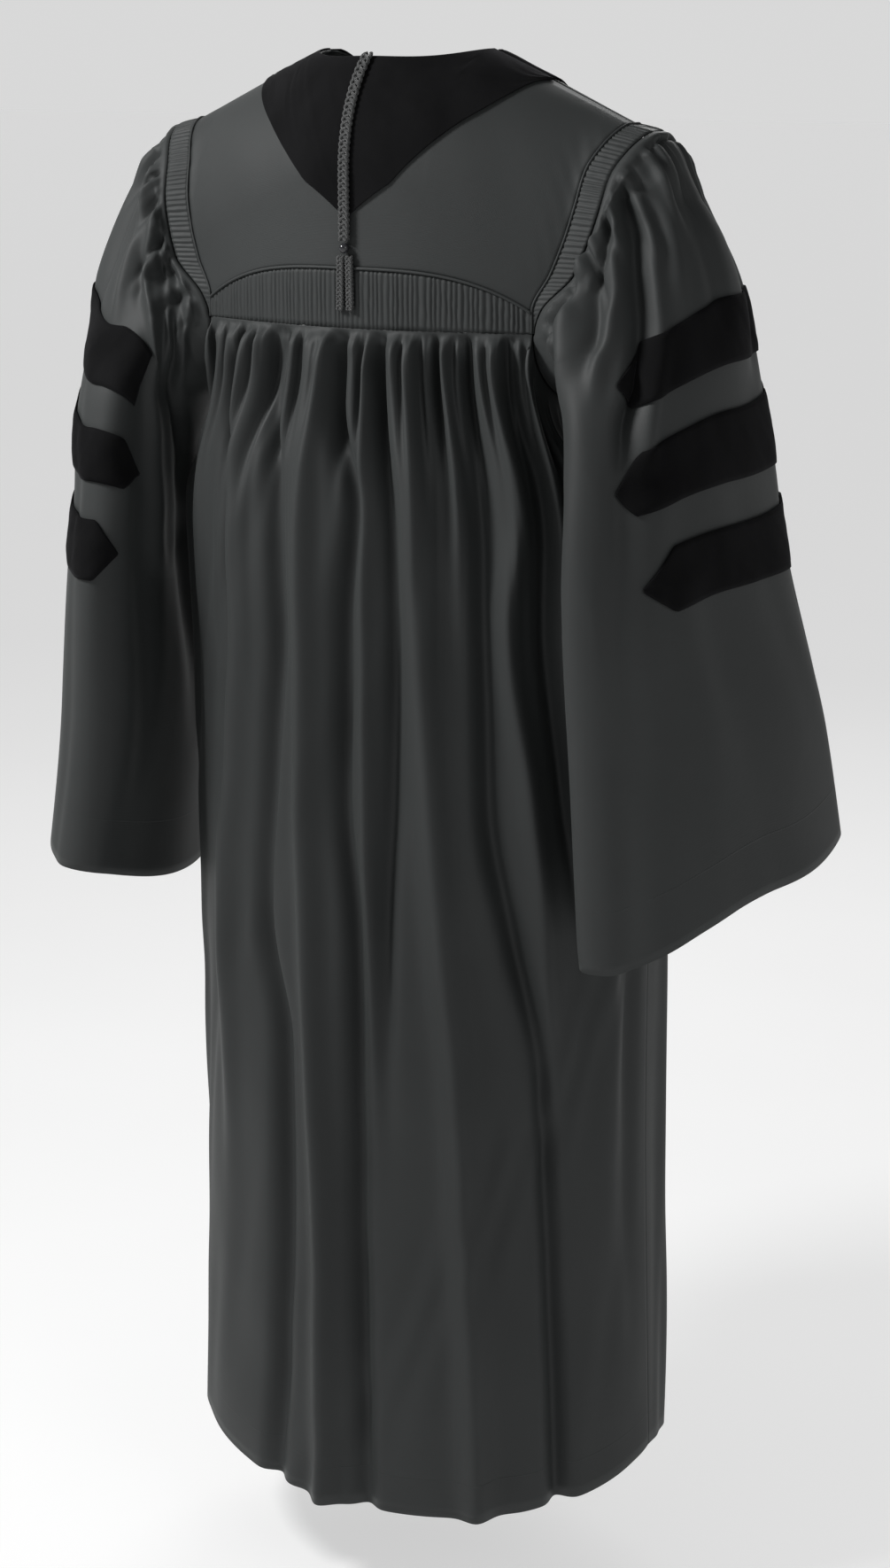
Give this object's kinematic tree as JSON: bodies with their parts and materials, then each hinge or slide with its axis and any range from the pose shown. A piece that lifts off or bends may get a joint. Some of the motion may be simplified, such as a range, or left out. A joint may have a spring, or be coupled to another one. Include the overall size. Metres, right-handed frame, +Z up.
{
  "type": "doctoral graduation gown",
  "caption": "Long open-necked academic gown with a gathered back, bell sleeves, velvet V, facings and sleeve bars, and a braided cord down the back.",
  "frame": {"origin": "between the wearer's shoulders, under the middle of the neck, 51 mm below the top of the shoulder line, where the gown rests on the shoulders", "axes": "+Z up, +Y towards the wearer's back, +X towards the wearer's left"},
  "size_m": [0.8136, 0.4053, 1.4139],
  "materials": {
    "gown_cloth": "satin",
    "black_velvet": "matte",
    "grey_cord": "matte",
    "dark_bead": "gloss",
    "zip_tape": "matte"
  },
  "bodies": {
    "root": {"back_yoke": "gown_cloth", "velvet_back_v": "black_velvet", "fluting_back": "gown_cloth", "back_skirt": "gown_cloth", "front_left": "gown_cloth", "front_right": "gown_cloth", "velvet_front_left": "black_velvet", "velvet_front_right": "black_velvet", "sleeve_left": "gown_cloth", "sleeve_right": "gown_cloth", "fluting_left": "gown_cloth", "fluting_right": "gown_cloth", "hood_cord": "grey_cord", "cord_tail_left": "grey_cord", "cord_tail_right": "grey_cord", "hood_button": "dark_bead", "front_zip": "zip_tape", "bar_left_1": "black_velvet", "bar_left_2": "black_velvet", "bar_left_3": "black_velvet", "bar_right_1": "black_velvet", "bar_right_2": "black_velvet", "bar_right_3": "black_velvet"}
  },
  "joints": []
}
